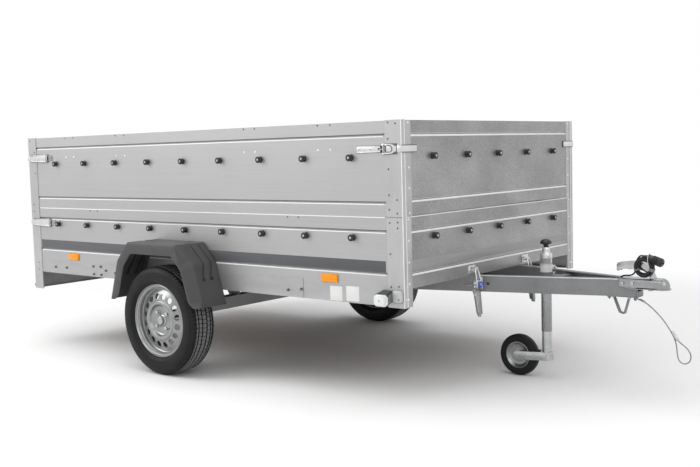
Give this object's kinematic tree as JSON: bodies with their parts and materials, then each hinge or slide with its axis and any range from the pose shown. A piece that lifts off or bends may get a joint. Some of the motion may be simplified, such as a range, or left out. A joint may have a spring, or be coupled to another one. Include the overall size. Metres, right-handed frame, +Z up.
{
  "type": "tipping utility trailer",
  "caption": "Single-axle utility trailer with a tipping box, drop-down tailgate, folding extension boards, V drawbar and jockey wheel.",
  "frame": {"origin": "on the ground under the middle of the trailer's length and width", "axes": "+X forwards to the coupling, +Y to the left side, +Z up"},
  "size_m": [3.6478, 1.894, 1.202],
  "materials": {
    "board_steel": "zinc coated, even grey",
    "galvanised_steel": "hot-dip galvanised, spangled",
    "zinc_plated_steel": "bright zinc plated",
    "wheel_paint": "silver paint, satin",
    "tyre_rubber": "matt black",
    "black_rubber": "matt black",
    "dark_plastic": "dark grey, fine grain",
    "black_plastic": "black, satin",
    "plywood": "brown film-faced plywood",
    "amber_plastic": "moulded reflector",
    "red_plastic": "moulded lens",
    "white_plastic": "moulded lens",
    "blue_plastic": "moulded clip",
    "cable_steel": "stranded steel, clear sheath"
  },
  "bodies": {
    "chassis": {"drawbar_leg_left": "galvanised_steel", "drawbar_leg_right": "galvanised_steel", "drawbar_crossbar": "galvanised_steel", "nose_foot": "galvanised_steel", "coupling_head": "zinc_plated_steel", "coupling_lever": "zinc_plated_steel", "axle_beam": "galvanised_steel", "swing_arms": "galvanised_steel", "tip_pins": "zinc_plated_steel", "tip_clamps": "zinc_plated_steel", "lock_clip": "blue_plastic", "jockey_tube": "zinc_plated_steel", "jockey_crank": "black_plastic", "lead": "black_rubber", "lead_hank": "black_rubber", "lead_plug": "black_plastic", "safety_cable": "cable_steel"},
    "box": {"floor_panel": "plywood", "side_rails": "galvanised_steel", "cross_members": "galvanised_steel", "rail_plates": "galvanised_steel", "tip_ears": "galvanised_steel", "tailgate_hinges": "zinc_plated_steel", "side_board_lower_left": "board_steel", "side_board_lower_right": "board_steel", "side_board_upper_left": "board_steel", "side_board_upper_right": "board_steel", "front_board_lower": "galvanised_steel", "post_front_left": "galvanised_steel", "post_front_right": "galvanised_steel", "post_rear_left": "galvanised_steel", "post_rear_right": "galvanised_steel", "extension_posts": "galvanised_steel", "mudguard_left": "dark_plastic", "mudguard_right": "dark_plastic", "rear_lamp_panel": "galvanised_steel", "rear_lamps": "red_plastic", "side_reflectors": "amber_plastic", "front_lamps": "white_plastic", "lamp_arms": "black_rubber", "rope_knobs": "black_plastic", "latches": "zinc_plated_steel", "buffers": "black_rubber", "clamp_brackets": "galvanised_steel"},
    "front_flap": {"front_board_upper": "galvanised_steel", "front_knobs": "black_plastic"},
    "rear_flap": {"rear_board_upper": "galvanised_steel", "rear_knobs": "black_plastic"},
    "tailgate": {"tailgate": "galvanised_steel", "tailgate_knobs": "black_plastic"},
    "wheel_left": {"tyre_left": "tyre_rubber", "rim_left": "wheel_paint", "hub_left": "zinc_plated_steel"},
    "wheel_right": {"tyre_right": "tyre_rubber", "rim_right": "wheel_paint", "hub_right": "zinc_plated_steel"},
    "jockey_slide": {"jockey_inner_tube": "zinc_plated_steel"},
    "jockey_fork": {"jockey_fork": "zinc_plated_steel"},
    "jockey_wheel": {"jockey_tyre": "tyre_rubber", "jockey_rim": "wheel_paint"}
  },
  "joints": [
    {"name": "box_tip", "type": "hinge", "parent": "chassis", "child": "box", "pos_m": [-0.4515, 0, 0.46], "axis": [0, -1, 0], "range_deg": [0, 13]},
    {"name": "front_flap_hinge", "type": "hinge", "parent": "box", "child": "front_flap", "pos_m": [0.9385, 0, 0.8145], "axis": [0, 1, 0], "range_deg": [0, 110]},
    {"name": "rear_flap_hinge", "type": "hinge", "parent": "box", "child": "rear_flap", "pos_m": [-1.7415, 0, 0.8145], "axis": [0, -1, 0], "range_deg": [0, 90]},
    {"name": "tailgate_hinge", "type": "hinge", "parent": "box", "child": "tailgate", "pos_m": [-1.7655, 0, 0.503], "axis": [0, -1, 0], "range_deg": [0, 180]},
    {"name": "wheel_left_spin", "type": "hinge", "parent": "chassis", "child": "wheel_left", "pos_m": [-0.4415, 0.8595, 0.27], "axis": [0, 1, 0], "continuous": true},
    {"name": "wheel_right_spin", "type": "hinge", "parent": "chassis", "child": "wheel_right", "pos_m": [-0.4415, -0.8595, 0.27], "axis": [0, 1, 0], "continuous": true},
    {"name": "jockey_height", "type": "slide", "parent": "chassis", "child": "jockey_slide", "axis": [0, 0, 1], "range_m": [-0.1, 0.09]},
    {"name": "jockey_swivel", "type": "hinge", "parent": "jockey_slide", "child": "jockey_fork", "pos_m": [1.1755, 0.035, 0.1], "axis": [0, 0, 1], "continuous": true},
    {"name": "jockey_wheel_spin", "type": "hinge", "parent": "jockey_fork", "child": "jockey_wheel", "pos_m": [1.0325, 0.035, 0.0975], "axis": [0, 1, 0], "continuous": true}
  ]
}
